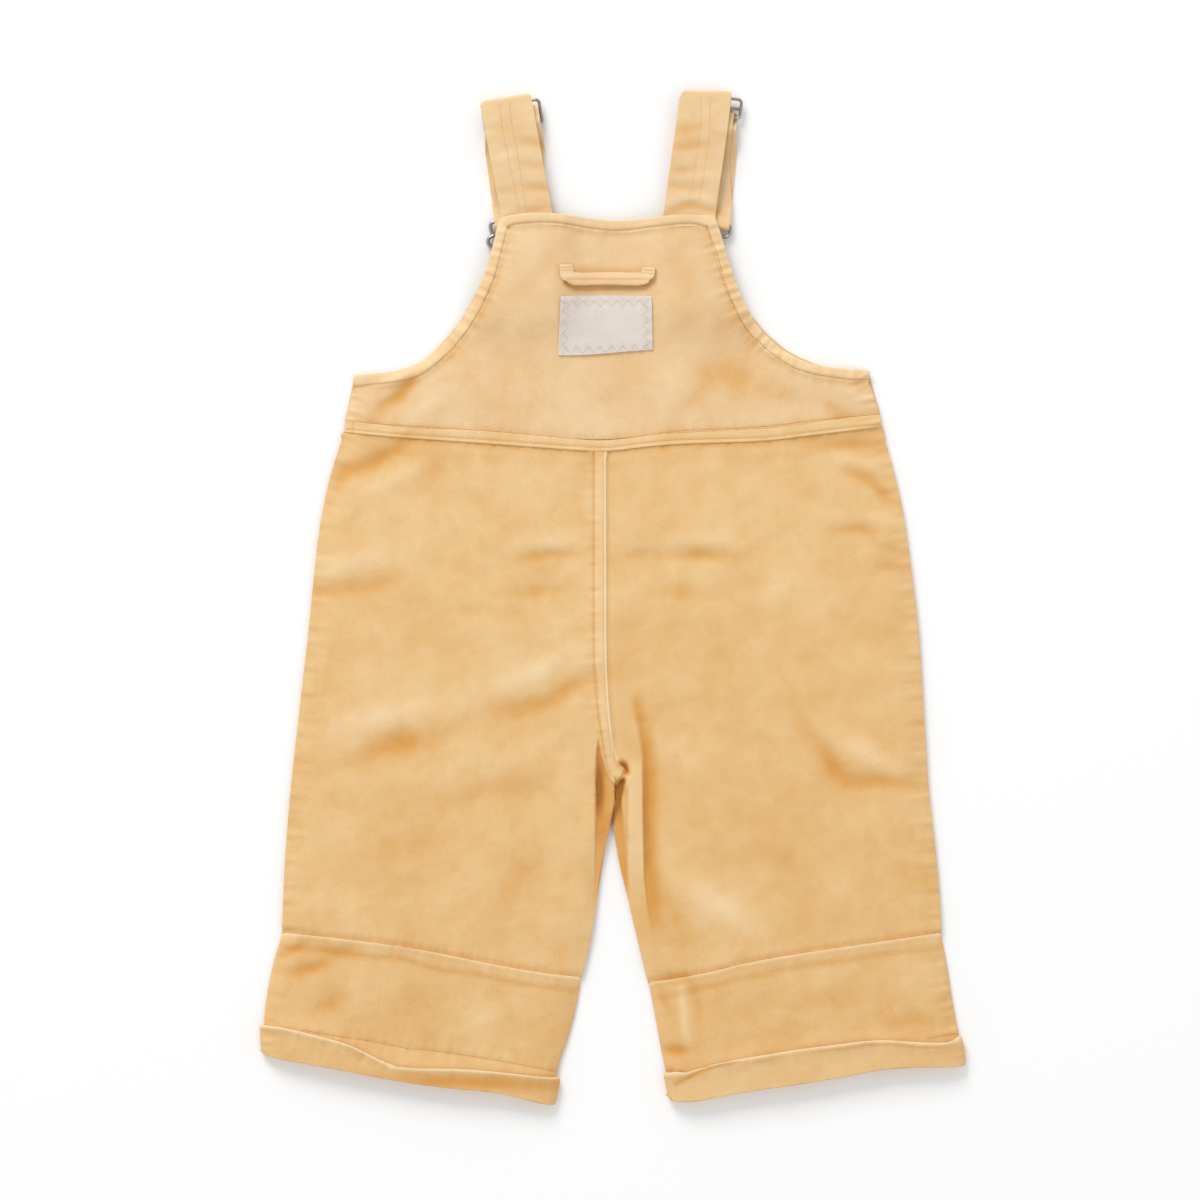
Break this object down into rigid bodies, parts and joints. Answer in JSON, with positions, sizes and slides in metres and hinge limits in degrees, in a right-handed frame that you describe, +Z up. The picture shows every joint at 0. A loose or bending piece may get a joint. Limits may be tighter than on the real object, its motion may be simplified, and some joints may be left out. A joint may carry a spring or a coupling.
{
  "type": "kids dungarees",
  "caption": "Toddler's twill dungarees laid flat face down, with wide turned-up legs, adjustable straps on wire sliders and bib buckles, a hanger loop and a plain label patch.",
  "frame": {"origin": "middle of the garment's length and width, on the surface it lies on", "axes": "+Z up from the surface, +Y towards the straps, +X towards the wearer's right; the back panel faces up"},
  "size_m": [0.3961, 0.5696, 0.0112],
  "materials": {
    "twill": "matt cotton twill",
    "label_cloth": "matt woven tape",
    "wire": "dull nickel"
  },
  "bodies": {
    "root": {"back_bib": "twill", "back_edging": "twill", "back_leg_left": "twill", "back_leg_right": "twill", "back_waistband": "twill", "band_left": "twill", "band_right": "twill", "buckle_left": "wire", "buckle_right": "wire", "button_left": "wire", "button_right": "wire", "front_bib": "twill", "front_leg_left": "twill", "front_leg_right": "twill", "front_waistband": "twill", "hanger_loop": "twill", "label": "label_cloth", "slider_left": "wire", "slider_right": "wire", "strap_left": "twill", "strap_right": "twill", "turnup_left": "twill", "turnup_right": "twill"}
  },
  "joints": []
}
